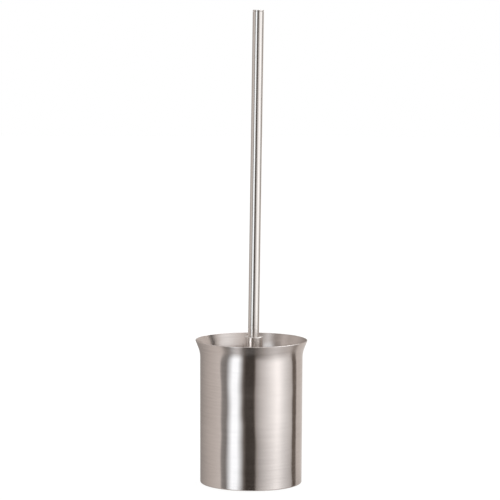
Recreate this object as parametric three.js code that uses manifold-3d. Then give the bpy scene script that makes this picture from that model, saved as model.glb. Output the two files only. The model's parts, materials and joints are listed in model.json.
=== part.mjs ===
// A free-standing toilet brush and its holder: a flared steel canister with a lift-out plastic liner, and a
// brush whose tube handle screws onto a moulded, tufted head. Millimetres, +Z up, origin under the canister.
import * as THREE from "three";
import { mergeVertices } from "three/addons/utils/BufferGeometryUtils.js";
import Module from "manifold-3d";

const wasm = await Module();
wasm.setup();

const degrees = THREE.MathUtils.degToRad;

// ---- Driving dimensions ---------------------------------------------------------------------------------

const gap = 0.3; // left between neighbouring solids

// How many flats stand for a full turn.
const shellSegments = 72;
const linerSegments = 64;
const padSegments = 48;
const steelSegments = 36;
const coreSegments = 32;
const studSegments = 20;
const bandSegments = 20;
const tuftSides = 6;

// Canister: one drawn steel cup with a flared mouth and a raised floor.
const canisterTop = 144;
const rimRadius = 55.8;
const wallRadius = 51; // outside, just under the flare
const footRadius = 50.65; // outside, at the bottom corner
const sheet = 0.8;
const flareAngle = degrees(22); // of the mouth's cone from vertical
const flareBendRadius = 26; // outside, where the wall turns into the cone
const cornerRadius = 2;
const padReveal = 0.6; // how far the canister stands off the ground
const floorRise = 2.4; // the floor panel above the standing ring
const floorPanelRadius = 44;
const standingRingInner = 45.6;

// Anti-slip pad: a rubber disc glued under the raised floor.
const padRadius = 43;
const padChamfer = 0.5;

// Drip liner: a plastic cup with a rolled finger lip.
const linerHeight = 86;
const linerWall = 1.5;
const linerFootRadius = 45;
const linerTopRadius = 47.6;
const linerLipRadius = 49;
const linerLipDepth = 4;
const linerCornerRadius = 3;

// The brush stands in the liner, leaning a little to +X. Heights in it run along its own axis, from the
// lowest bristle tips.
const brushLean = degrees(0.62);
const brushOffset = 0.5;

// Bristles: level rows on the core, drawn in at both ends, with two rings and a tuft that fan out of the
// core's dome.
const bristleRadius = 40;
const firstRowInset = 1.5;
const lastRowInset = 1;
const tuftsPerRow = 10;
const rowCount = 7;
const firstRowHeight = 29;
const rowPitch = 9;
const tuftRootRadius = 1.5;
const tuftTipRadius = 2.6;
const bandThickness = 1.2; // of the band that ties a row's roots together
const bandHalfHeight = 2;
const bandHalfAngle = degrees(9); // the same band on the dome
const crownRings = [
  { name: "crown_ring_lower", count: 6, tilt: degrees(33), tipDistance: 29 },
  { name: "crown_ring_upper", count: 8, tilt: degrees(62), tipDistance: 34.5 },
];

// Head core.
const domeRadius = 9.5;
const domeHeight = 26; // of the dome's centre
const coreTopRadius = 10.5;
const coreBodyTop = 89;
const coreShoulderTaper = 4;
const stemRadius = 8;
const shoulderRadius = 9.3;
const shoulderHeight = 112.7;
const shoulderLand = 4;
const shoulderTaper = 2;
const neckRadius = 6.9;
const neckTop = 126.2;

// Threaded joint between head and handle: a stud in the head's neck, and a flanged nut in the tube.
const studRadius = 3;
const studBottom = 112;
const studTop = 136.8;
const studChamfer = 0.6;
const nutFlangeRadius = 6.9;
const nutFlange = 2;
const nutLength = 16;
const nutHoleDepth = 12;
const nutChamfer = 0.6;

// Ferrule: a sleeve over that joint. It hangs on the nut's flange by an inner step, free to turn.
const ferruleRadius = 9.3;
const ferruleChamfer = 0.6;
const ferruleTop = 141;

// Handle.
const tubeRadius = 5.5;
const tubeWall = 0.8;
const handleTop = 464.7;
const capHead = 1.2;
const capChamfer = 0.5;
const capSpigot = 12;
const capNoseTaper = 1.5;
const gripGrooves = [4, 7.5]; // heights above the spigot's nose
const gripGrooveWidth = 2;
const gripGrooveDepth = 0.5;

// ---- Worked out from them -------------------------------------------------------------------------------

const standingRing = padReveal;
const floorUnder = standingRing + floorRise;
const floorTop = floorUnder + sheet;
const linerFoot = floorTop + gap;
const brushFoot = linerFoot + linerWall + 2 * gap;
const ferruleBottom = shoulderHeight + gap;
const nutBottom = neckTop + gap;
const nutShoulder = nutBottom + nutFlange;
const tubeBottom = nutShoulder + gap;
const tubeTop = handleTop - capHead - gap;
const spigotRadius = tubeRadius - tubeWall - gap;

// ---- Materials ------------------------------------------------------------------------------------------

function finish(color, metalness, roughness) {
  return new THREE.MeshStandardMaterial({ color, metalness, roughness });
}

const brushedSteel = finish(0xb5aca5, 1, 0.32);
const handleSteel = finish(0xbab2ac, 1, 0.26);
const zincSteel = finish(0xa9adb0, 1, 0.4);
const whitePlastic = finish(0xe9e8e4, 0, 0.5);
const greyPlastic = finish(0xcfd0cf, 0, 0.45);
const nylon = finish(0xf1f0ec, 0, 0.55);
const rubber = finish(0x2a2a2b, 0, 0.85);

// ---- Helpers --------------------------------------------------------------------------------------------

// A closed profile of (radius, height) turned about Z.
function revolve(profile, segments) {
  return new THREE.LatheGeometry(profile, segments).rotateX(Math.PI / 2);
}

function at(radius, height) {
  return new THREE.Vector2(radius, height);
}

// Points of an arc round (radius, height), from one angle to another, measured from the +radius direction.
function arc(radius, height, bend, from, to, steps) {
  const points = [];
  for (let i = 0; i <= steps; i++) {
    const angle = from + ((to - from) * i) / steps;
    points.push(at(radius + bend * Math.cos(angle), height + bend * Math.sin(angle)));
  }
  return points;
}

function toManifold(geometry) {
  const bare = geometry.clone();
  bare.deleteAttribute("normal");
  bare.deleteAttribute("uv");
  const merged = mergeVertices(bare, 1e-4);
  return new wasm.Manifold(
    new wasm.Mesh({
      numProp: 3,
      vertProperties: new Float32Array(merged.attributes.position.array),
      triVerts: new Uint32Array(merged.index.array),
    }),
  );
}

function toGeometry(manifold) {
  const mesh = manifold.getMesh();
  const geometry = new THREE.BufferGeometry();
  geometry.setAttribute("position", new THREE.BufferAttribute(mesh.vertProperties, 3));
  geometry.setIndex(new THREE.BufferAttribute(mesh.triVerts, 1));
  geometry.computeVertexNormals();
  return geometry;
}

function part(name, geometry, material) {
  const mesh = new THREE.Mesh(geometry, material);
  mesh.name = name;
  return mesh;
}

// ---- Holder ---------------------------------------------------------------------------------------------

// The wall's side of the sheet: outside with inset 0, inside with inset equal to the sheet's thickness.
// It runs from the standing ring up to the rim, where the sheet is cut square to the cone.
function canisterSide(inset) {
  const corner = cornerRadius - inset;
  const bend = flareBendRadius + inset;
  const cornerCentre = at(footRadius - cornerRadius, standingRing + cornerRadius);
  const coneRun = rimRadius - wallRadius - flareBendRadius * (1 - Math.cos(flareAngle));
  const bendTop = canisterTop - sheet * Math.sin(flareAngle) - coneRun / Math.tan(flareAngle);
  const bendBottom = bendTop - flareBendRadius * Math.sin(flareAngle);
  return [
    ...arc(cornerCentre.x, cornerCentre.y, corner, -Math.PI / 2, 0, 4),
    ...arc(wallRadius + flareBendRadius, bendBottom, bend, Math.PI, Math.PI - flareAngle, 5),
    at(rimRadius - inset * Math.cos(flareAngle), canisterTop - (sheet - inset) * Math.sin(flareAngle)),
  ];
}

function canisterShell() {
  const outside = canisterSide(0);
  const inside = canisterSide(sheet);
  const profile = [
    at(0, floorUnder),
    at(floorPanelRadius, floorUnder),
    at(standingRingInner, standingRing),
    ...outside,
    ...inside.reverse(),
    at(standingRingInner + sheet / 2, standingRing + sheet),
    at(floorPanelRadius + sheet / 2, floorTop),
    at(0, floorTop),
  ];
  return part("canister_shell", revolve(profile, shellSegments), brushedSteel);
}

function basePad() {
  const top = floorUnder - gap;
  const profile = [
    at(0, 0),
    at(padRadius - padChamfer, 0),
    at(padRadius, padChamfer),
    at(padRadius, top),
    at(0, top),
  ];
  return part("base_pad", revolve(profile, padSegments), rubber);
}

// ---- Liner ----------------------------------------------------------------------------------------------

function dripLiner() {
  const top = linerFoot + linerHeight;
  const inner = linerTopRadius - linerWall;
  const innerFoot = linerFootRadius - linerWall;
  const innerFloor = linerFoot + linerWall;
  const profile = [
    at(0, linerFoot),
    ...arc(
      linerFootRadius - linerCornerRadius,
      linerFoot + linerCornerRadius,
      linerCornerRadius,
      -Math.PI / 2,
      0,
      3,
    ),
    at(linerTopRadius, top - linerLipDepth),
    at(linerLipRadius, top - linerLipDepth),
    at(linerLipRadius, top - linerWall / 2),
    at(linerLipRadius - linerWall / 2, top),
    at(inner + linerWall / 2, top),
    at(inner, top - linerWall / 2),
    ...arc(
      innerFoot - linerCornerRadius,
      innerFloor + linerCornerRadius,
      linerCornerRadius,
      0,
      -Math.PI / 2,
      3,
    ),
    at(0, innerFloor),
  ];
  return part("drip_liner", revolve(profile, linerSegments), greyPlastic);
}

// ---- Brush head -----------------------------------------------------------------------------------------

function headCore() {
  const profile = [
    ...arc(0, domeHeight, domeRadius, -Math.PI / 2, 0, 6),
    at(coreTopRadius, coreBodyTop),
    at(stemRadius, coreBodyTop + coreShoulderTaper),
    at(stemRadius, shoulderHeight - shoulderLand - shoulderTaper),
    at(shoulderRadius, shoulderHeight - shoulderLand),
    at(shoulderRadius, shoulderHeight),
    at(neckRadius, shoulderHeight),
    at(neckRadius, neckTop),
    at(studRadius + gap, neckTop),
    at(studRadius + gap, studBottom - gap),
    at(0, studBottom - gap),
  ];
  return part("head_core", revolve(profile, coreSegments), whitePlastic);
}

function threadStud() {
  const profile = [
    at(0, studBottom),
    at(studRadius - studChamfer, studBottom),
    at(studRadius, studBottom + studChamfer),
    at(studRadius, studTop - studChamfer),
    at(studRadius - studChamfer, studTop),
    at(0, studTop),
  ];
  return part("thread_stud", revolve(profile, studSegments), zincSteel);
}

// One tuft, a flared bundle of filaments, from a root radius out to a tip radius about the origin. Its tilt
// is measured from straight down (0) to level (90 degrees), and turn is its place round Z.
function tuft(rootDistance, tipDistance, tilt, turn, height) {
  const length = tipDistance - rootDistance;
  const geometry = new THREE.CylinderGeometry(tuftTipRadius, tuftRootRadius, length, tuftSides);
  geometry.translate(0, rootDistance + length / 2, 0);
  geometry.rotateZ(Math.PI - tilt);
  geometry.rotateX(Math.PI / 2);
  geometry.rotateZ(turn);
  geometry.translate(0, 0, height);
  return toManifold(geometry);
}

// A row of tufts tied at their roots by a band that hugs the core.
function tuftRing(band, count, rootDistance, tipDistance, tilt, firstTurn, height) {
  let ring = toManifold(band);
  for (let i = 0; i < count; i++) {
    const turn = firstTurn + (2 * Math.PI * i) / count;
    ring = ring.add(tuft(rootDistance, tipDistance, tilt, turn, height));
  }
  return toGeometry(ring);
}

function coreRadiusAt(height) {
  const share = (height - domeHeight) / (coreBodyTop - domeHeight);
  return domeRadius + (coreTopRadius - domeRadius) * share;
}

function rowTipRadius(row) {
  if (row === 0) return bristleRadius - firstRowInset;
  if (row === rowCount - 1) return bristleRadius - lastRowInset;
  return bristleRadius;
}

function bristleRow(row) {
  const height = firstRowHeight + row * rowPitch;
  const low = height - bandHalfHeight;
  const high = height + bandHalfHeight;
  const inner = coreRadiusAt(high) + gap;
  const outer = inner + bandThickness;
  const profile = [at(inner, low), at(outer, low), at(outer, high), at(inner, high), at(inner, low)];
  const band = revolve(profile, bandSegments);
  const stagger = (row % 2) * (Math.PI / tuftsPerRow);
  const root = inner + bandThickness / 2;
  const geometry = tuftRing(band, tuftsPerRow, root, rowTipRadius(row), Math.PI / 2, stagger, height);
  return part(`bristle_row_${row + 1}`, geometry, nylon);
}

// A ring of tufts that fans out of the core's dome.
function crownRing({ name, count, tilt, tipDistance }) {
  const inner = domeRadius + gap;
  const from = tilt - bandHalfAngle - Math.PI / 2;
  const to = tilt + bandHalfAngle - Math.PI / 2;
  const near = arc(0, domeHeight, inner, from, to, 3);
  const far = arc(0, domeHeight, inner + bandThickness, from, to, 3);
  const band = revolve([...far, ...near.reverse(), far[0].clone()], bandSegments);
  const geometry = tuftRing(band, count, inner + bandThickness / 2, tipDistance, tilt, 0, domeHeight);
  return part(name, geometry, nylon);
}

function crownTuft() {
  const geometry = toGeometry(tuft(domeRadius + gap, domeHeight, 0, 0, domeHeight));
  return part("crown_tuft", geometry, nylon);
}

function brushHead() {
  const group = new THREE.Group();
  group.add(headCore(), threadStud(), crownTuft());
  for (const ring of crownRings) group.add(crownRing(ring));
  for (let row = 0; row < rowCount; row++) group.add(bristleRow(row));
  return group;
}

// ---- Ferrule --------------------------------------------------------------------------------------------

function ferrule() {
  const skirt = nutFlangeRadius + gap;
  const bore = tubeRadius + gap;
  const step = nutShoulder + gap;
  const profile = [
    at(skirt, ferruleBottom),
    at(ferruleRadius - ferruleChamfer, ferruleBottom),
    at(ferruleRadius, ferruleBottom + ferruleChamfer),
    at(ferruleRadius, ferruleTop - ferruleChamfer),
    at(ferruleRadius - ferruleChamfer, ferruleTop),
    at(bore, ferruleTop),
    at(bore, step),
    at(skirt, step),
    at(skirt, ferruleBottom),
  ];
  return part("ferrule", revolve(profile, steelSegments), handleSteel);
}

// ---- Handle ---------------------------------------------------------------------------------------------

function handleTube() {
  const inner = tubeRadius - tubeWall;
  const profile = [
    at(inner, tubeBottom),
    at(tubeRadius, tubeBottom),
    at(tubeRadius, tubeTop),
    at(inner, tubeTop),
    at(inner, tubeBottom),
  ];
  return part("handle_tube", revolve(profile, steelSegments), handleSteel);
}

// A press-in plug: a flat chamfered head over a spigot with grip grooves.
function endCap() {
  const under = handleTop - capHead;
  const nose = under - capSpigot;
  const groove = spigotRadius - gripGrooveDepth;
  const profile = [
    at(0, nose),
    at(spigotRadius - capNoseTaper / 2, nose),
    at(spigotRadius, nose + capNoseTaper),
  ];
  for (const rise of gripGrooves) {
    const low = nose + rise;
    const high = low + gripGrooveWidth;
    profile.push(at(spigotRadius, low), at(groove, low + gripGrooveDepth));
    profile.push(at(groove, high - gripGrooveDepth), at(spigotRadius, high));
  }
  profile.push(
    at(spigotRadius, under),
    at(tubeRadius, under),
    at(tubeRadius, handleTop - capChamfer),
    at(tubeRadius - capChamfer, handleTop),
    at(0, handleTop),
  );
  return part("end_cap", revolve(profile, steelSegments), handleSteel);
}

// The threaded nut in the tube's lower end, with a flange that carries the ferrule.
function tubeNut() {
  const hole = studRadius + gap;
  const top = nutBottom + nutLength;
  const profile = [
    at(hole, nutBottom),
    at(nutFlangeRadius, nutBottom),
    at(nutFlangeRadius, nutShoulder),
    at(spigotRadius, nutShoulder),
    at(spigotRadius, top - nutChamfer),
    at(spigotRadius - nutChamfer, top),
    at(0, top),
    at(0, nutBottom + nutHoleDepth),
    at(hole, nutBottom + nutHoleDepth),
    at(hole, nutBottom),
  ];
  return part("tube_nut", revolve(profile, coreSegments), zincSteel);
}

// ---- Assembly -------------------------------------------------------------------------------------------

const brush = new THREE.Group();
brush.position.set(brushOffset, 0, brushFoot);
brush.rotation.y = brushLean;
brush.add(brushHead(), ferrule(), handleTube(), endCap(), tubeNut());

const toiletBrushHolder = new THREE.Group();
toiletBrushHolder.add(canisterShell(), basePad(), dripLiner(), brush);

export default toiletBrushHolder;
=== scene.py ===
# Looks of the toilet brush holder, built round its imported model: brushed steel, moulded plastic, rubber and
# nylon filament, in a plain white studio. Lengths are metres (MM turns millimetres into them).
import json
import math
import random

import bpy
from mathutils import Matrix, Vector


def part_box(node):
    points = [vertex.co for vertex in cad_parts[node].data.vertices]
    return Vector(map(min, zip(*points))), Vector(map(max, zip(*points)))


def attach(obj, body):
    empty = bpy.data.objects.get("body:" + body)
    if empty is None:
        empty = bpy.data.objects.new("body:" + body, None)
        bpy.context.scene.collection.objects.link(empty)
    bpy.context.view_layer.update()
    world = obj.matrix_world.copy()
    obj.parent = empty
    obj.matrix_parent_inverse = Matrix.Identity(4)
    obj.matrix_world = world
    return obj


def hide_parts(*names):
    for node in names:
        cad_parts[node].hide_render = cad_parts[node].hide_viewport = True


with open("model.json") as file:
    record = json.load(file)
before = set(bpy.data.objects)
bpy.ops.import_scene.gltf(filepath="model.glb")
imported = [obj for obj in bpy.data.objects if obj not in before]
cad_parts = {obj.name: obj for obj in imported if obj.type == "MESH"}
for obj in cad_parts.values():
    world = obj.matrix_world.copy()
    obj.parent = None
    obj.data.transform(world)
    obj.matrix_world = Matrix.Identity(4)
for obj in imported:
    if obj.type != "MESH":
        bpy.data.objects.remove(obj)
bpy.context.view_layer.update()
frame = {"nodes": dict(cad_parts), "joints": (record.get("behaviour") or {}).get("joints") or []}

MM = 0.001
WHOLE_TURN = 2 * math.pi

# ---- Camera ---------------------------------------------------------------------------------------------

CAMERA_PLACE = Vector((-0.0018, -2.6, 0.495))
CAMERA_PITCH = 5.74  # degrees down
CAMERA_ROLL = 0.23  # degrees
CAMERA_LENS = 189.7  # millimetres, as the sensor is
CAMERA_SENSOR = 36


def make_camera():
    data = bpy.data.cameras.new("camera")
    data.sensor_width = CAMERA_SENSOR
    data.lens = CAMERA_LENS
    camera = bpy.data.objects.new("camera", data)
    bpy.context.scene.collection.objects.link(camera)
    tip = Matrix.Rotation(math.radians(90 - CAMERA_PITCH), 4, "X")
    roll = Matrix.Rotation(math.radians(CAMERA_ROLL), 4, "Z")
    camera.matrix_world = Matrix.Translation(CAMERA_PLACE) @ tip @ roll
    bpy.context.scene.camera = camera


# ---- Node helpers ---------------------------------------------------------------------------------------

MIX_FIRST = 6  # a Mix node's sockets for colours
MIX_SECOND = 7
MIX_RESULT = 2


def add(tree, kind, **settings):
    made = tree.nodes.new("ShaderNode" + kind)
    for name, value in settings.items():
        setattr(made, name, value)
    return made


def feed(tree, socket, value):
    """Links a socket to another, or gives it a fixed value."""
    if isinstance(value, bpy.types.NodeSocket):
        tree.links.new(value, socket)
    else:
        socket.default_value = value


def calc(tree, operation, *values):
    made = add(tree, "Math", operation=operation)
    for socket, value in zip(made.inputs, values):
        feed(tree, socket, value)
    return made.outputs[0]


def spread(tree, value, low, high, to_low=0.0, to_high=1.0, smooth=False):
    """Carries a value from one range to another, and holds it at the ends."""
    made = add(tree, "MapRange", interpolation_type="SMOOTHSTEP" if smooth else "LINEAR")
    for name, number in (("Value", value), ("From Min", low), ("From Max", high)):
        feed(tree, made.inputs[name], number)
    made.inputs["To Min"].default_value = to_low
    made.inputs["To Max"].default_value = to_high
    return made.outputs["Result"]


def blend(tree, share, first, second):
    made = add(tree, "Mix", data_type="RGBA")
    feed(tree, made.inputs["Factor"], share)
    feed(tree, made.inputs[MIX_FIRST], first)
    feed(tree, made.inputs[MIX_SECOND], second)
    return made.outputs[MIX_RESULT]


def ramp(tree, share, stops):
    """A colour ramp through (place, colour) stops."""
    made = add(tree, "ValToRGB")
    points = made.color_ramp.elements
    while len(points) < len(stops):
        points.new(0.5)  # anywhere: each gets its place below
    for point, (place, colour) in zip(points, stops):
        point.position = place
        point.color = colour
    feed(tree, made.inputs["Fac"], share)
    return made.outputs["Color"]


def noise(tree, vector, scale, detail=3.0, roughness=0.5):
    made = add(tree, "TexNoise")
    feed(tree, made.inputs["Vector"], vector)
    made.inputs["Scale"].default_value = scale
    made.inputs["Detail"].default_value = detail
    made.inputs["Roughness"].default_value = roughness
    return made.outputs["Fac"]


def bump(tree, height, strength, distance, normal=None):
    made = add(tree, "Bump")
    made.inputs["Strength"].default_value = strength
    made.inputs["Distance"].default_value = distance
    feed(tree, made.inputs["Height"], height)
    if normal:
        feed(tree, made.inputs["Normal"], normal)
    return made.outputs["Normal"]


# ---- Studio ---------------------------------------------------------------------------------------------

# What stands round the object, from left to right: degrees from the camera, how bright it is there, on a
# scale where the main softbox is about 1, and how warm, from 0, neutral, to 1. Below 0 it is cool.
CARDS = (
    (-180, 0.20, 0.4),  # backdrop
    (-150, 0.23, 0.4),
    (-110, 0.38, 0.4),
    (-74, 0.48, 0.3),
    (-70, 0.19, 0.2),  # a gap beside the main softbox
    (-58, 0.16, 0.2),
    (-43.5, 0.98, -0.4),  # main softbox
    (-32.5, 0.98, -0.4),
    (-18.5, 0.13, 0.5),  # dark flag round the camera
    (-13, 0.03, 1.0),
    (6, 0.03, 1.0),
    (8, 0.08, 0.8),
    (11, 0.28, 0.3),  # fill, brighter towards its middle
    (21, 0.46, 0.1),
    (60, 1.0, 0.0),
    (66, 0.96, 0.0),
    (83, 0.66, 0.0),
    (105, 0.42, 0.2),
    (107, 0.10, 0.9),  # a gap on the right
    (121, 0.08, 1.0),
    (124, 0.43, 0.4),  # backdrop
    (180, 0.45, 0.3),
)
HIGH_CARDS = (
    (-180, 0.40, 0.4),
    (-95, 0.39, 0.4),
    (-82, 0.45, 0.3),
    (-66, 0.27, 0.5),
    (-57, 0.27, 0.4),
    (-41, 0.53, 0.0),
    (-22, 0.26, 0.4),
    (4, 0.24, 0.4),
    (23, 0.46, 0.3),
    (55, 0.69, 0.0),
    (68, 0.68, 0.0),
    (82, 0.52, 0.2),
    (90, 0.34, 0.4),
    (97, 0.04, 0.8),
    (102, 0.05, 0.8),
    (112, 0.44, 0.4),
    (180, 0.48, 0.4),
)
BEHIND_CARDS = (  # softboxes high behind the object, with dark gaps between them
    (-180, 0.05, 0.6),
    (-171, 0.08, 0.6),
    (-167, 1.5, 0.0),
    (-160, 1.5, 0.0),
    (-153, 0.06, 0.6),
    (-108, 0.10, 0.6),
    (104, 0.7, 0.0),
    (122, 0.7, 0.0),
    (130, 0.10, 0.5),
    (142, 0.10, 0.5),
    (147, 4.0, -0.2),
    (162, 4.0, -0.2),
    (168, 0.06, 0.6),
    (180, 0.05, 0.6),
)
LOW_CARDS = (
    (-180, 0.40, 0.4),
    (-82, 0.44, 0.4),
    (-72, 0.17, 0.5),
    (-58, 0.13, 0.5),
    (-40, 0.31, 0.4),
    (-22, 0.07, 0.8),
    (-8, 0.02, 1.0),
    (4, 0.027, 1.0),
    (16, 0.10, 0.8),
    (38, 0.34, 0.3),
    (60, 0.57, 0.1),
    (72, 0.55, 0.1),
    (90, 0.40, 0.3),
    (112, 0.33, 0.5),
    (126, 0.46, 0.4),
    (180, 0.48, 0.4),
)
OVERHEAD = (1.6, 0.0)  # brightness and warmth, the same all round
FLOOR_LIGHT = (0.8, 0.0)
HIGH_FROM = 10  # degrees above the horizon
HIGH_TO = 15
HIGH_SLANT = -5  # degrees that their lower edge rises on the right: below 0 it falls
BEHIND_FROM = 29
BEHIND_TO = 35
BEHIND_BEGIN = (94, 102)  # where they fade in, degrees from the camera to either side
ABOVE_FROM = 54  # the high cards again, above the ones behind
ABOVE_TO = 59
OVERHEAD_FROM = 64
OVERHEAD_TO = 80
LOW_FROM = -26
LOW_TO = -50
LOW_SLANT = 7  # degrees that their upper edge rises on the right
FLOOR_FROM = -62
FLOOR_TO = -76
STUDIO_STRENGTH = 1.6
WARMEST = (1.0, 0.81, 0.67)
WHITE = (1, 1, 1, 1)


def card_colour(brightness, warmth):
    return (*(brightness * (1 + (channel - 1) * warmth) for channel in WARMEST), 1.0)


def card_stops(cards):
    return [((turn + 180) / 360, card_colour(brightness, warmth)) for turn, brightness, warmth in cards]


def make_studio():
    """Soft cards all round, which light the object and show in its steel. The camera sees plain white."""
    world = bpy.data.worlds.new("studio")
    bpy.context.scene.world = world
    world.use_nodes = True
    tree = world.node_tree
    tree.nodes.clear()
    way = add(tree, "SeparateXYZ")
    feed(tree, way.inputs[0], add(tree, "TexCoord").outputs["Generated"])
    x, y, z = way.outputs
    turn = calc(tree, "ARCTAN2", x, calc(tree, "MULTIPLY", y, -1.0))
    share = spread(tree, turn, -math.pi, math.pi)
    rise = calc(tree, "ARCSINE", z)

    def band(start, end, slant=0.0):
        height = calc(tree, "MULTIPLY_ADD", x, math.radians(-slant), rise)
        return spread(tree, height, math.radians(start), math.radians(end), smooth=True)

    def cards(stops):
        return ramp(tree, share, card_stops(stops))

    round_back = spread(tree, calc(tree, "ABSOLUTE", turn), *map(math.radians, BEHIND_BEGIN))
    behind = calc(tree, "MULTIPLY", band(BEHIND_FROM, BEHIND_TO), round_back)
    seen = blend(tree, band(HIGH_FROM, HIGH_TO, HIGH_SLANT), cards(CARDS), cards(HIGH_CARDS))
    seen = blend(tree, behind, seen, cards(BEHIND_CARDS))
    seen = blend(tree, band(ABOVE_FROM, ABOVE_TO), seen, cards(HIGH_CARDS))
    seen = blend(tree, band(OVERHEAD_FROM, OVERHEAD_TO), seen, card_colour(*OVERHEAD))
    seen = blend(tree, band(LOW_FROM, LOW_TO, LOW_SLANT), seen, cards(LOW_CARDS))
    seen = blend(tree, band(FLOOR_FROM, FLOOR_TO), seen, card_colour(*FLOOR_LIGHT))
    studio = add(tree, "Background")
    feed(tree, studio.inputs["Color"], seen)
    studio.inputs["Strength"].default_value = STUDIO_STRENGTH
    white = add(tree, "Background")
    white.inputs["Color"].default_value = WHITE
    either = add(tree, "MixShader")
    feed(tree, either.inputs[0], add(tree, "LightPath").outputs["Is Camera Ray"])
    feed(tree, either.inputs[1], studio.outputs[0])
    feed(tree, either.inputs[2], white.outputs[0])
    output = add(tree, "OutputWorld")
    feed(tree, output.inputs["Surface"], either.outputs[0])
    bpy.context.scene.view_settings.view_transform = "Standard"


FLOOR_HALF = 6  # half its side
FLOOR_GLOW = 0.93
FLOOR_COLOUR = (0.12, 0.12, 0.12, 1)  # what it adds where light falls on it
PAINTED_SHADOW_PLACE = (0.13, -0.15, 0)  # the middle of a painted shadow, put in the place of the object's soft shadow as its steel reflects it
PAINTED_SHADOW_NEAR = 0.08  # how far from there it starts to fade
PAINTED_SHADOW_FAR = 0.24  # and where it ends
PAINTED_SHADOW_DEPTH = 0.24


def make_floor():
    """A white floor. Reflections look through it to the studio's low cards, and show only a painted shadow on
    it, put in the place of the object's soft shadow."""
    mesh = bpy.data.meshes.new("floor")
    quarters = ((-1, -1), (1, -1), (1, 1), (-1, 1))
    mesh.from_pydata([(FLOOR_HALF * x, FLOOR_HALF * y, 0) for x, y in quarters], [], [(0, 1, 2, 3)])
    floor = bpy.data.objects.new("floor", mesh)
    bpy.context.scene.collection.objects.link(floor)
    material, tree, shader = blank("floor")
    shader.inputs["Base Color"].default_value = FLOOR_COLOUR
    shader.inputs["Roughness"].default_value = 1
    shader.inputs["Specular IOR Level"].default_value = 0
    shader.inputs["Emission Color"].default_value = WHITE
    shader.inputs["Emission Strength"].default_value = FLOOR_GLOW
    # Painted shadow: reflections see the floor as clear, darkened by distance from a fixed place, not by any
    # light.
    away = add(tree, "VectorMath", operation="DISTANCE")
    feed(tree, away.inputs[0], add(tree, "TexCoord").outputs["Object"])
    away.inputs[1].default_value = PAINTED_SHADOW_PLACE
    painted_shadow = add(tree, "BsdfTransparent")
    clear = spread(tree, away.outputs["Value"], PAINTED_SHADOW_NEAR, PAINTED_SHADOW_FAR, 1 - PAINTED_SHADOW_DEPTH, 1.0, smooth=True)
    feed(tree, painted_shadow.inputs["Color"], clear)
    either = add(tree, "MixShader")
    feed(tree, either.inputs[0], add(tree, "LightPath").outputs["Is Glossy Ray"])
    feed(tree, either.inputs[1], shader.outputs[0])
    feed(tree, either.inputs[2], painted_shadow.outputs[0])
    feed(tree, tree.nodes["Material Output"].inputs["Surface"], either.outputs[0])
    mesh.materials.append(material)


# ---- Materials ------------------------------------------------------------------------------------------

MIDDLE = (0.3, 0.7)  # where most of a noise's values lie


def blank(name):
    material = bpy.data.materials.new(name)
    material.use_nodes = True
    tree = material.node_tree
    return material, tree, tree.nodes["Principled BSDF"]


def shade(colour, factor):
    return (*(channel * factor for channel in colour), 1.0)


# Noises are given by how often they change per metre.
MARKS_ROUND = 30.0  # along a brushing mark, which runs round the axis
FINE_MARKS = 5000.0  # across the marks
BROAD_MARKS = 650.0
FINE_SHARE = 0.4  # of the fine marks in the grain
BROAD_SHARE = 0.6
MARK_DARKER = 0.07
MARK_LIGHTER = 0.05
MARK_ROUGHER = 0.02
SMUDGES = 22.0
SMUDGE_RANGE = (0.35, 0.7)
SMUDGE_ROUGHNESS = (-0.01, 0.03)
MARK_DEPTH = 0.01 * MM
MARK_BUMP = 0.4
WAVES = 24.0
QUARTER_TURN = 0.25  # so that highlights stretch across the marks


def steel(name, tint, roughness, marking, wave):
    """Steel brushed round its axis. marking is how plain the marks are, up to 1, and wave is how far the
    sheet is out of true."""
    material, tree, shader = blank(name)
    place = add(tree, "TexCoord").outputs["Object"]
    split = add(tree, "SeparateXYZ")
    feed(tree, split.inputs[0], place)
    x, y, z = split.outputs
    square = calc(tree, "ADD", calc(tree, "MULTIPLY", x, x), calc(tree, "MULTIPLY", y, y))
    out_and_up = calc(tree, "ADD", calc(tree, "SQRT", square), z)

    def marks(per_metre):
        vector = add(tree, "CombineXYZ")
        feed(tree, vector.inputs[0], calc(tree, "MULTIPLY", x, MARKS_ROUND))
        feed(tree, vector.inputs[1], calc(tree, "MULTIPLY", y, MARKS_ROUND))
        feed(tree, vector.inputs[2], calc(tree, "MULTIPLY", out_and_up, per_metre))
        return noise(tree, vector.outputs[0], 1.0)

    fine = marks(FINE_MARKS)
    fine_part = calc(tree, "MULTIPLY", fine, FINE_SHARE)
    grain = calc(tree, "MULTIPLY_ADD", marks(BROAD_MARKS), BROAD_SHARE, fine_part)
    dark = shade(tint, 1 - MARK_DARKER * marking)
    light = shade(tint, 1 + MARK_LIGHTER * marking)
    feed(tree, shader.inputs["Base Color"], blend(tree, spread(tree, grain, *MIDDLE), dark, light))
    marked = spread(tree, grain, *MIDDLE, -MARK_ROUGHER, MARK_ROUGHER)
    smudged = spread(tree, noise(tree, place, SMUDGES, detail=2.0), *SMUDGE_RANGE, *SMUDGE_ROUGHNESS)
    worn = calc(tree, "ADD", marked, smudged)
    feed(tree, shader.inputs["Roughness"], calc(tree, "ADD", worn, roughness))
    shader.inputs["Metallic"].default_value = 1
    shader.inputs["Anisotropic"].default_value = 1
    shader.inputs["Anisotropic Rotation"].default_value = QUARTER_TURN
    feed(tree, shader.inputs["Tangent"], add(tree, "Tangent", direction_type="RADIAL", axis="Z").outputs[0])
    sheet = bump(tree, noise(tree, place, WAVES, detail=1.0), strength=1.0, distance=wave)
    feed(tree, shader.inputs["Normal"], bump(tree, fine, MARK_BUMP, MARK_DEPTH * marking, sheet))
    return material


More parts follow.
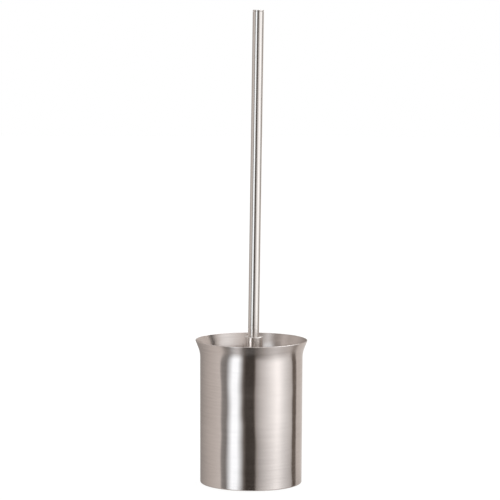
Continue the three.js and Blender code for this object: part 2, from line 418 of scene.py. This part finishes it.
ZINC_DARK = (0.36, 0.39, 0.41, 1)
ZINC_LIGHT = (0.56, 0.57, 0.56, 1)
ZINC_CLOUDS = 900.0
ZINC_ROUGHNESS = (0.28, 0.42)
ZINC_PITS = 4000.0
ZINC_PIT_DEPTH = 0.02 * MM


def zinc(name):
    """Zinc plating: cloudy, and finely pitted."""
    material, tree, shader = blank(name)
    place = add(tree, "TexCoord").outputs["Object"]
    cloud = noise(tree, place, ZINC_CLOUDS, detail=4.0)
    feed(tree, shader.inputs["Base Color"], blend(tree, cloud, ZINC_DARK, ZINC_LIGHT))
    feed(tree, shader.inputs["Roughness"], spread(tree, cloud, *MIDDLE, *ZINC_ROUGHNESS))
    shader.inputs["Metallic"].default_value = 1
    pits = bump(tree, noise(tree, place, ZINC_PITS), strength=0.3, distance=ZINC_PIT_DEPTH)
    feed(tree, shader.inputs["Normal"], pits)
    return material


FLOW_MARKS = 60.0
FLOW_TONES = (0.93, 1.04)  # darkest and lightest, as shares of the colour
FLOW_SMOOTHER = 0.04
FLOW_ROUGHER = 0.06
TOOL_TEXTURE = 3500.0


def moulded(name, colour, roughness, texture):
    """Injection-moulded plastic: slight flow marks in the colour, and the tool's fine texture."""
    material, tree, shader = blank(name)
    place = add(tree, "TexCoord").outputs["Object"]
    flow = noise(tree, place, FLOW_MARKS, detail=3.0, roughness=0.6)
    feed(tree, shader.inputs["Base Color"], blend(tree, flow, *(shade(colour, tone) for tone in FLOW_TONES)))
    sheen = spread(tree, flow, *MIDDLE, roughness - FLOW_SMOOTHER, roughness + FLOW_ROUGHER)
    feed(tree, shader.inputs["Roughness"], sheen)
    grain = noise(tree, place, TOOL_TEXTURE, detail=2.0)
    feed(tree, shader.inputs["Normal"], bump(tree, grain, strength=0.35, distance=texture))
    return material


RUBBER_BLACK = (0.018, 0.018, 0.019, 1)
RUBBER_DUSTY = (0.045, 0.044, 0.043, 1)
RUBBER_DUST = 120.0
RUBBER_ROUGHNESS = (0.75, 0.9)
RUBBER_GRAIN = 1800.0
RUBBER_GRAIN_DEPTH = 0.1 * MM


def rubber(name):
    """Matt black rubber, with fine grain and a little dust."""
    material, tree, shader = blank(name)
    place = add(tree, "TexCoord").outputs["Object"]
    dust = noise(tree, place, RUBBER_DUST, detail=4.0, roughness=0.7)
    feed(tree, shader.inputs["Base Color"], blend(tree, dust, RUBBER_BLACK, RUBBER_DUSTY))
    feed(tree, shader.inputs["Roughness"], spread(tree, dust, *MIDDLE, *RUBBER_ROUGHNESS))
    grain = noise(tree, place, RUBBER_GRAIN)
    feed(tree, shader.inputs["Normal"], bump(tree, grain, strength=0.6, distance=RUBBER_GRAIN_DEPTH))
    return material


NYLON_DARK = (0.82, 0.81, 0.77, 1)
NYLON_LIGHT = (0.95, 0.94, 0.92, 1)
NYLON_CRIMP = 700.0
CRIMP_SHARE = 0.3  # of the tone, and the rest is each filament's own
OWN_SHARE = 0.7
NYLON_ROUGHNESS = (0.34, 0.5)


def nylon(name):
    """Bristle filament: each differs a little in tone and gloss, and is crimped along its length."""
    material, tree, shader = blank(name)
    own = add(tree, "NewGeometry").outputs["Random Per Island"]
    place = add(tree, "TexCoord").outputs["Object"]
    crimp = noise(tree, place, NYLON_CRIMP, detail=1.0)
    tone = calc(tree, "MULTIPLY_ADD", crimp, CRIMP_SHARE, calc(tree, "MULTIPLY", own, OWN_SHARE))
    feed(tree, shader.inputs["Base Color"], blend(tree, tone, NYLON_DARK, NYLON_LIGHT))
    feed(tree, shader.inputs["Roughness"], spread(tree, own, 0.0, 1.0, *NYLON_ROUGHNESS))
    return material


# ---- Turned shapes --------------------------------------------------------------------------------------

TURN_SEGMENTS = 192
CORE_SEGMENTS = 180
SMALL_SEGMENTS = 96
NUT_SEGMENTS = 48
STUD_SEGMENTS = 32
ARC_STEP = math.radians(11)
ARC_FEWEST = 3
SUPPORT = 0.15 * MM  # keeps a fillet's shading off the flat beside it
SHARP = math.radians(40)
ON_AXIS = 1e-9


def arc(radius, height, bend, start, end):
    """Points of an arc round (radius, height), between two angles from the +radius direction, in degrees."""
    steps = max(ARC_FEWEST, math.ceil(math.radians(abs(end - start)) / ARC_STEP))
    angles = [math.radians(start + (end - start) * i / steps) for i in range(steps + 1)]
    return [Vector((radius + bend * math.cos(a), height + bend * math.sin(a))) for a in angles]


def rounded(corners):
    """Points through (radius, height, rounding) corners, each turned by an arc of its own rounding. A corner
    of no rounding stays sharp."""
    points = []
    for i, (radius, height, rounding) in enumerate(corners):
        here = Vector((radius, height))
        if rounding == 0:
            points.append(here)
            continue
        back = Vector(corners[i - 1][:2]) - here
        on = Vector(corners[(i + 1) % len(corners)][:2]) - here
        back.normalize()
        on.normalize()
        half = back.angle(on) / 2
        reach = rounding / math.tan(half)
        centre = here + (back + on).normalized() * rounding / math.sin(half)
        first = here + back * reach - centre
        last = here + on * reach - centre
        turn = math.pi - 2 * half
        steps = max(ARC_FEWEST, math.ceil(turn / ARC_STEP))
        points.append(here + back * (reach + SUPPORT))
        for step in range(steps + 1):
            part = turn * step / steps
            spoke = (first * math.sin(turn - part) + last * math.sin(part)) / math.sin(turn)
            points.append(centre + spoke)
        points.append(here + on * (reach + SUPPORT))
    return points


def build(name, corners, faces, material, place=Matrix()):
    mesh = bpy.data.meshes.new(name)
    mesh.from_pydata(corners, [], faces)
    mesh.polygons.foreach_set("use_smooth", [True] * len(mesh.polygons))
    mesh.set_sharp_from_angle(angle=SHARP)
    mesh.materials.append(material)
    made = bpy.data.objects.new(name, mesh)
    bpy.context.scene.collection.objects.link(made)
    made.matrix_world = place
    return made


def turned(name, outline, material, segments=TURN_SEGMENTS, place=Matrix(), shape=None):
    """Turns an outline about the local Z axis. Its outside runs upwards. It starts and ends on the axis, or
    closes on itself. shape(radius, height, angle) may give each point another radius."""
    corners = []
    rings = []
    for radius, height in outline:
        if radius < ON_AXIS:
            rings.append([len(corners)])
            corners.append((0, 0, height))
            continue
        rings.append(range(len(corners), len(corners) + segments))
        for k in range(segments):
            angle = WHOLE_TURN * k / segments
            own = shape(radius, height, angle) if shape else radius
            corners.append((own * math.cos(angle), own * math.sin(angle), height))
    if outline[0][0] > ON_AXIS:
        rings.append(rings[0])
    faces = []
    for low, high in zip(rings, rings[1:]):
        for k in range(segments):
            on = (k + 1) % segments
            ring = (low[k % len(low)], low[on % len(low)], high[on % len(high)], high[k % len(high)])
            faces.append(tuple(dict.fromkeys(ring)))
    return build(name, corners, faces, material, place)


def belongs(piece, body, slot, *nodes):
    """Tells the frame which body a piece rides, and hides the model's nodes that it replaces. The slot is not
    used.
    """
    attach(piece, body)
    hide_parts(*nodes)


def steps_between(low, high, step):
    """Even heights from low to high, no further apart than step."""
    count = math.ceil((high - low) / step)
    return [low + (high - low) * i / count for i in range(count + 1)]


# ---- Holder ---------------------------------------------------------------------------------------------

SHEET = 0.8 * MM
WALL_RADIUS = 51 * MM
FOOT_RADIUS = 50.65 * MM
FLARE = math.radians(22)
FLARE_BEND = 26 * MM
FOOT_CORNER = 1.3 * MM
FLOOR_PANEL = 44 * MM  # the raised floor's radius
RING_INNER = 45.6 * MM
FLOOR_RISE = 2.4 * MM
RIM_EDGE = 0.3 * MM


def flared(inset, low, rim, top):
    """The wall's line on one side of the sheet, from the foot's corner to the rim's edge."""
    edge_radius = rim - inset * math.cos(FLARE)
    edge_height = top - (SHEET - inset) * math.sin(FLARE)
    wall = WALL_RADIUS - inset
    meeting = edge_height - (edge_radius - wall) / math.tan(FLARE)
    return [
        (FOOT_RADIUS - inset, low + inset, FOOT_CORNER - inset),
        (wall, meeting, FLARE_BEND + inset),
        (edge_radius, edge_height, RIM_EDGE),
    ]


def make_canister(material):
    lowest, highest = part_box("canister_shell")
    low, rim, top = lowest.z, highest.x, highest.z
    under = low + FLOOR_RISE
    half = SHEET / 2
    outside = flared(0, low, rim, top)
    inside = flared(SHEET, low, rim, top)
    corners = [
        (0, under, 0),  # the raised floor's underside
        (FLOOR_PANEL, under, 1.2 * MM),
        (RING_INNER, low, 0.8 * MM),  # the foot's ring round it
        *outside,
        *reversed(inside),
        (RING_INNER + half, low + SHEET, 0.4 * MM),
        (FLOOR_PANEL + half, under + SHEET, 0.6 * MM),
        (0, under + SHEET, 0),
    ]
    canister = turned("steel_canister", rounded(corners), material)
    belongs(canister, "holder", "canister_steel", "canister_shell")


PAD_GROOVES = 4
PAD_GROOVE_PITCH = 8.5 * MM
PAD_GROOVE_WIDTH = 1.6 * MM
PAD_GROOVE_DEPTH = 0.5 * MM
PAD_GROOVE_SLOPE = 0.3 * MM


def make_pad(material):
    """The rubber disc, with ring-shaped grooves that grip the floor."""
    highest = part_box("base_pad")[1]
    corners = [(0, 0, 0)]
    for i in range(1, PAD_GROOVES + 1):
        inner = i * PAD_GROOVE_PITCH
        outer = inner + PAD_GROOVE_WIDTH
        corners.append((inner, 0, 0.15 * MM))
        corners.append((inner + PAD_GROOVE_SLOPE, PAD_GROOVE_DEPTH, 0.1 * MM))
        corners.append((outer - PAD_GROOVE_SLOPE, PAD_GROOVE_DEPTH, 0.1 * MM))
        corners.append((outer, 0, 0.15 * MM))
    corners.append((highest.x, 0, 0.6 * MM))
    corners.append((highest.x, highest.z, 0.3 * MM))
    corners.append((0, highest.z, 0))
    belongs(turned("rubber_pad", rounded(corners), material), "holder", "pad_rubber", "base_pad")


# ---- Liner ----------------------------------------------------------------------------------------------

LINER_WALL = 1.5 * MM
LINER_FOOT = 45 * MM
LINER_TOP = 47.6 * MM
LINER_LIP_DEPTH = 4 * MM
LINER_CORNER = 3 * MM
GATE_RADIUS = 2.2 * MM  # the dimple in its floor where the plastic came in
GATE_DEPTH = 0.3 * MM
GATE_EDGE = 0.12 * MM


def make_liner(material):
    lowest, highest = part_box("drip_liner")
    low, lip, top = lowest.z, highest.x, highest.z
    floor = low + LINER_WALL
    corners = [
        (0, low, 0),
        (LINER_FOOT, low, LINER_CORNER),
        (LINER_TOP, top - LINER_LIP_DEPTH, 0.3 * MM),
        (lip, top - LINER_LIP_DEPTH, 0.35 * MM),  # the lip's underside
        (lip, top, 0.9 * MM),
        (LINER_TOP - LINER_WALL, top, 0.7 * MM),
        (LINER_FOOT - LINER_WALL, floor, LINER_CORNER),
        (GATE_RADIUS, floor, GATE_EDGE),
        (GATE_RADIUS - GATE_DEPTH, floor - GATE_DEPTH, GATE_EDGE),
        (0, floor - GATE_DEPTH, 0),
    ]
    belongs(turned("liner_cup", rounded(corners), material), "liner", "liner_plastic", "drip_liner")


# ---- Brush ----------------------------------------------------------------------------------------------

# The brush's own frame: its foot at the lowest bristle tips, and Z up its leaning handle.
unscrew = next(joint for joint in frame["joints"] if joint["name"] == "handle_unscrew")
lean = Vector((0, 0, 1)).rotation_difference(Vector(unscrew["axis"]))
BRUSH = Matrix.Translation(Vector(unscrew["pos_m"])) @ lean.to_matrix().to_4x4()


def measured(node):
    """A brush node's outer radius, lowest and highest points in the brush's own frame."""
    inverse = BRUSH.inverted()
    points = [inverse @ vertex.co for vertex in frame["nodes"][node].data.vertices]
    heights = [point.z for point in points]
    return max(math.hypot(point.x, point.y) for point in points), min(heights), max(heights)


DOME_RADIUS = 9.5 * MM
DOME_HEIGHT = 26 * MM
CORE_TOP_RADIUS = 10.5 * MM
CORE_TOP = 89 * MM
STEM_FOOT = 93 * MM
STEM_RADIUS = 8 * MM
STEM_TOP = 106.7 * MM
SHOULDER_RADIUS = 9.3 * MM
SHOULDER_FOOT = 108.7 * MM
SHOULDER_TOP = 112.7 * MM
NECK_RADIUS = 6.9 * MM
STUD_FIT = 0.05 * MM
PARTING_HEIGHT = 0.08 * MM
PARTING_HALF_ANGLE = math.radians(1.6)


def with_parting(radius, _, angle):
    """A thin seam where the core's two mould halves met."""
    away = abs(math.remainder(angle, math.pi))
    return radius + PARTING_HEIGHT * max(0.0, 1 - away / PARTING_HALF_ANGLE)


def make_core(material):
    neck_top = measured("head_core")[2]
    stud_radius, stud_foot, _ = measured("thread_stud")
    hole = stud_radius + STUD_FIT
    corners = [
        (CORE_TOP_RADIUS, CORE_TOP, 1.2 * MM),
        (STEM_RADIUS, STEM_FOOT, 1.2 * MM),
        (STEM_RADIUS, STEM_TOP, 1 * MM),
        (SHOULDER_RADIUS, SHOULDER_FOOT, 0.6 * MM),
        (SHOULDER_RADIUS, SHOULDER_TOP, 0.25 * MM),
        (NECK_RADIUS, SHOULDER_TOP, 0.2 * MM),
        (NECK_RADIUS, neck_top, 0.4 * MM),
        (hole, neck_top, 0.2 * MM),
        (hole, stud_foot, 0.1 * MM),
        (0, stud_foot, 0),
    ]
    dome = arc(0, DOME_HEIGHT, DOME_RADIUS, -90, 0)
    start = [(dome[-1].x, dome[-1].y, 0)]
    outline = dome[:-1] + rounded(start + corners)
    core = turned("brush_core", outline, material, CORE_SEGMENTS, BRUSH, with_parting)
    belongs(core, "brush_head", "core_plastic", "head_core")


THREAD_PITCH = 1 * MM
THREAD_DEPTH = 0.55 * MM
THREAD_STEP = THREAD_PITCH / 8
FLANK = 0.4  # of the pitch, on each side of the groove
STUD_CHAMFER = 0.6 * MM


def groove(height, angle):
    """How deep a right-handed thread's groove is here, from 0 on its crest to 1."""
    phase = (height / THREAD_PITCH - angle / WHOLE_TURN) % 1
    return min(1.0, max(0.0, (0.5 - abs(phase - 0.5)) / FLANK))


def make_stud(material):
    radius, low, high = measured("thread_stud")
    heights = steps_between(low + STUD_CHAMFER, high - STUD_CHAMFER, THREAD_STEP)
    outline = [Vector((0, low)), Vector((radius - STUD_CHAMFER, low))]
    outline += [Vector((radius, height)) for height in heights]
    outline += [Vector((radius - STUD_CHAMFER, high)), Vector((0, high))]

    def cut(own, height, angle):
        threaded = own > radius - STUD_CHAMFER / 2
        return own - THREAD_DEPTH * groove(height, angle) if threaded else own

    stud = turned("threaded_stud", outline, material, STUD_SEGMENTS, BRUSH, cut)
    belongs(stud, "brush_head", "zinc_steel", "thread_stud")


FILAMENT_RADIUS = 0.24 * MM
FILAMENT_SIDES = 5
FILAMENT_STEPS = 4
ROOT_SINK = 0.8 * MM  # how far the filaments start inside the core
ROOT_SPREAD = 1.3 * MM
TIP_SPREAD = 5 * MM
TIP_SHY = 0.3 * MM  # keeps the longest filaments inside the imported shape
FILAMENTS = 24  # in a tuft
LENGTH_SCATTER = 1.2 * MM
BEND_SCATTER = 0.9 * MM
ROWS = 7
RINGS_PER_ROW = 2
RING_GAP = 4.5 * MM
TUFTS_PER_RING = 14
RING_STAGGER = 0.5  # of the step from tuft to tuft
ROW_STAGGER = 0.25
SLANTED = Vector((0.3, 0.5, 0.8))  # no tuft points this way


def upright(direction):
    """Two unit vectors square to a direction and to each other."""
    side = direction.cross(SLANTED).normalized()
    return side, direction.cross(side)


def add_filament(corners, faces, root, tip, bow, radius):
    """One nylon filament: a thin closed tube from root to tip, bowed in its middle."""
    direction = (tip - root).normalized()
    side, up = upright(direction)
    first = len(corners)
    for step in range(FILAMENT_STEPS):
        share = step / (FILAMENT_STEPS - 1)
        centre = root.lerp(tip, share) + bow * (4 * share * (1 - share))
        for k in range(FILAMENT_SIDES):
            angle = WHOLE_TURN * k / FILAMENT_SIDES
            corners.append(centre + (side * math.cos(angle) + up * math.sin(angle)) * radius)
    for step in range(FILAMENT_STEPS - 1):
        low = first + step * FILAMENT_SIDES
        for k in range(FILAMENT_SIDES):
            on = (k + 1) % FILAMENT_SIDES
            faces.append((low + k, low + on, low + on + FILAMENT_SIDES, low + k + FILAMENT_SIDES))
    faces.append(tuple(first + k for k in reversed(range(FILAMENT_SIDES))))
    last = first + (FILAMENT_STEPS - 1) * FILAMENT_SIDES
    faces.append(tuple(last + k for k in range(FILAMENT_SIDES)))


def disc_point(rng, side, up, radius):
    """A random point of a disc, spread evenly over it."""
    angle = rng.uniform(0, WHOLE_TURN)
    away = radius * math.sqrt(rng.random())
    return (side * math.cos(angle) + up * math.sin(angle)) * away


def add_tuft(corners, faces, rng, root, direction, length):
    """A tuft whose filaments fan out from a hole in the core. No tip is further out than its length."""
    side, up = upright(direction)
    for _ in range(FILAMENTS):
        start = root + disc_point(rng, side, up, ROOT_SPREAD) - direction * ROOT_SINK
        aim = direction * (length + ROOT_SINK) + disc_point(rng, side, up, TIP_SPREAD)
        reach = length + ROOT_SINK - LENGTH_SCATTER * rng.random()
        bow = disc_point(rng, side, up, BEND_SCATTER)
        add_filament(corners, faces, start, start + aim.normalized() * reach, bow, FILAMENT_RADIUS)


def core_radius(height):
    """The core's own radius at a height between its dome and its top."""
    share = (height - DOME_HEIGHT) / (CORE_TOP - DOME_HEIGHT)
    return DOME_RADIUS + (CORE_TOP_RADIUS - DOME_RADIUS) * share


def make_row(number, material):
    """Two staggered rings of tufts, in the place of one of the model's rows."""
    node = f"bristle_row_{number}"
    tip, low, high = measured(node)
    middle = (low + high) / 2
    rng = random.Random(number)
    corners = []
    faces = []
    for ring in range(RINGS_PER_ROW):
        height = middle + (ring - (RINGS_PER_ROW - 1) / 2) * RING_GAP
        root = core_radius(height)
        stagger = RING_STAGGER * ring + ROW_STAGGER * (number % 2)
        for k in range(TUFTS_PER_RING):
            angle = WHOLE_TURN * (k + stagger) / TUFTS_PER_RING
            direction = Vector((math.cos(angle), math.sin(angle), 0))
            place = direction * root + Vector((0, 0, height))
            add_tuft(corners, faces, rng, place, direction, tip - root - TIP_SHY)
    row = build(f"bristles_{number}", corners, faces, material, BRUSH)
    belongs(row, "brush_head", "bristle_nylon", node)


CROWNS = (  # node, name, number of tufts, and their angle from straight down
    ("crown_tuft", "crown_bristles_tip", 1, 0),
    ("crown_ring_lower", "crown_bristles_lower", 8, 33),
    ("crown_ring_upper", "crown_bristles_upper", 12, 62),
)


def make_crown(node, name, count, tilt, material):
    """One ring of the tufts that fan out of the core's dome."""
    dome = Vector((0, 0, DOME_HEIGHT))
    inverse = BRUSH.inverted()
    reach = max((inverse @ vertex.co - dome).length for vertex in frame["nodes"][node].data.vertices)
    slope = math.radians(tilt)
    rng = random.Random(name)
    corners = []
    faces = []
    for k in range(count):
        angle = WHOLE_TURN * k / count
        level = Vector((math.cos(angle), math.sin(angle), 0)) * math.sin(slope)
        direction = level - Vector((0, 0, math.cos(slope)))
        root = dome + direction * DOME_RADIUS
        add_tuft(corners, faces, rng, root, direction, reach - DOME_RADIUS - TIP_SHY)
    crown = build(name, corners, faces, material, BRUSH)
    belongs(crown, "brush_head", "bristle_nylon", node)


# ---- Collar and handle ----------------------------------------------------------------------------------

FERRULE_SKIRT = 7.2 * MM
FERRULE_BORE = 5.8 * MM
FERRULE_STEP = 128.8 * MM  # where its wide skirt ends and the bore begins
FERRULE_EDGE = 0.5 * MM
TUBE_WALL = 0.8 * MM
TUBE_EDGE = 0.15 * MM
CAP_HEAD = 1.2 * MM
CAP_CHAMFER = 0.2 * MM
CAP_EDGE = 0.08 * MM
CAP_SHY = 0.01 * MM  # keeps its edge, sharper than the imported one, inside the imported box
SPIGOT_RADIUS = 4.4 * MM
SPIGOT_TAPER = 1.5 * MM
GRIP_GROOVES = (4 * MM, 7.5 * MM)  # from the spigot's end
GRIP_EDGE = 0.1 * MM
GRIP_GROOVE_WIDTH = 2 * MM
GRIP_GROOVE_DEPTH = 0.5 * MM
NUT_FLANGE = 2 * MM
NUT_HOLE = 12 * MM
NUT_THREAD_INNER = 3.05 * MM
NUT_LEAD_IN = 0.65 * MM  # a countersink, wider than the thread's grooves


def make_ferrule(material):
    """The collar round the tube's foot, whose skirt covers the core's neck."""
    radius, low, high = measured("ferrule")
    corners = [
        (FERRULE_SKIRT, low, 0.2 * MM),
        (radius, low, FERRULE_EDGE),
        (radius, high, FERRULE_EDGE),
        (FERRULE_BORE, high, 0.2 * MM),
        (FERRULE_BORE, FERRULE_STEP, 0.15 * MM),
        (FERRULE_SKIRT, FERRULE_STEP, 0.15 * MM),
    ]
    ferrule = turned("steel_ferrule", rounded(corners), material, SMALL_SEGMENTS, BRUSH)
    belongs(ferrule, "collar", "handle_steel", "ferrule")


def make_tube(material):
    radius, low, high = measured("handle_tube")
    inner = radius - TUBE_WALL
    corners = [
        (inner, low, TUBE_EDGE),
        (radius, low, TUBE_EDGE),
        (radius, high, TUBE_EDGE),
        (inner, high, TUBE_EDGE),
    ]
    tube = turned("steel_tube", rounded(corners), material, SMALL_SEGMENTS, BRUSH)
    belongs(tube, "handle", "handle_steel", "handle_tube")


def make_cap(material):
    """The flat cap on the tube, with a grooved spigot inside it."""
    radius, nose, packed_top = measured("end_cap")
    top = packed_top - CAP_SHY
    under = top - CAP_HEAD
    corners = [
        (0, nose, 0),
        (SPIGOT_RADIUS - SPIGOT_TAPER / 2, nose, 0.2 * MM),
        (SPIGOT_RADIUS, nose + SPIGOT_TAPER, 0.3 * MM),
    ]
    for rise in GRIP_GROOVES:
        low = nose + rise
        high = low + GRIP_GROOVE_WIDTH
        bottom = SPIGOT_RADIUS - GRIP_GROOVE_DEPTH
        corners.append((SPIGOT_RADIUS, low, GRIP_EDGE))
        corners.append((bottom, low + GRIP_GROOVE_DEPTH, GRIP_EDGE))
        corners.append((bottom, high - GRIP_GROOVE_DEPTH, GRIP_EDGE))
        corners.append((SPIGOT_RADIUS, high, GRIP_EDGE))
    corners += [
        (SPIGOT_RADIUS, under, 0.1 * MM),
        (radius, under, 0.12 * MM),
        (radius, top - CAP_CHAMFER, CAP_EDGE),
        (radius - CAP_CHAMFER, top, CAP_EDGE),
        (0, top, 0),
    ]
    cap = turned("steel_cap", rounded(corners), material, SMALL_SEGMENTS, BRUSH)
    belongs(cap, "handle", "handle_steel", "end_cap")


def make_nut(material):
    """The nut in the tube, with the thread that takes the stud."""
    flange, low, high = measured("tube_nut")
    hole_top = low + NUT_HOLE
    shoulder = low + NUT_FLANGE
    heights = reversed(steps_between(low + NUT_LEAD_IN, hole_top, THREAD_STEP))
    hole = [Vector((0, hole_top))]
    hole += [Vector((NUT_THREAD_INNER, height)) for height in heights]
    corners = [
        (NUT_THREAD_INNER + NUT_LEAD_IN, low, 0),
        (flange, low, 0.3 * MM),
        (flange, shoulder, 0.3 * MM),
        (SPIGOT_RADIUS, shoulder, 0.2 * MM),
        (SPIGOT_RADIUS, high, 0.6 * MM),
        (0, high, 0),
    ]

    def cut(own, height, angle):
        threaded = own < NUT_THREAD_INNER + NUT_LEAD_IN / 2
        return own + THREAD_DEPTH * groove(height, angle) if threaded else own

    nut = turned("flanged_nut", hole + rounded(corners), material, NUT_SEGMENTS, BRUSH, cut)
    belongs(nut, "handle", "zinc_steel", "tube_nut")


# ---- Everything -----------------------------------------------------------------------------------------

CANISTER_TINT = (0.665, 0.615, 0.592)
HANDLE_TINT = (0.735, 0.70, 0.675)
CORE_WHITE = (0.82, 0.82, 0.79)
LINER_GREY = (0.62, 0.63, 0.62)

make_camera()
make_studio()
make_floor()

canister_steel = steel("canister_steel", CANISTER_TINT, roughness=0.17, marking=1.0, wave=1.0 * MM)
handle_steel = steel("handle_steel", HANDLE_TINT, roughness=0.19, marking=0.3, wave=0.0)
zinc_steel = zinc("zinc_steel")
core_plastic = moulded("core_plastic", CORE_WHITE, roughness=0.32, texture=0.015 * MM)
liner_plastic = moulded("liner_plastic", LINER_GREY, roughness=0.42, texture=0.03 * MM)
bristle_nylon = nylon("bristle_nylon")

make_canister(canister_steel)
make_pad(rubber("pad_rubber"))
make_liner(liner_plastic)
make_core(core_plastic)
make_stud(zinc_steel)
for crown in CROWNS:
    make_crown(*crown, bristle_nylon)
for row_number in range(1, ROWS + 1):
    make_row(row_number, bristle_nylon)
make_ferrule(handle_steel)
make_tube(handle_steel)
make_cap(handle_steel)
make_nut(zinc_steel)
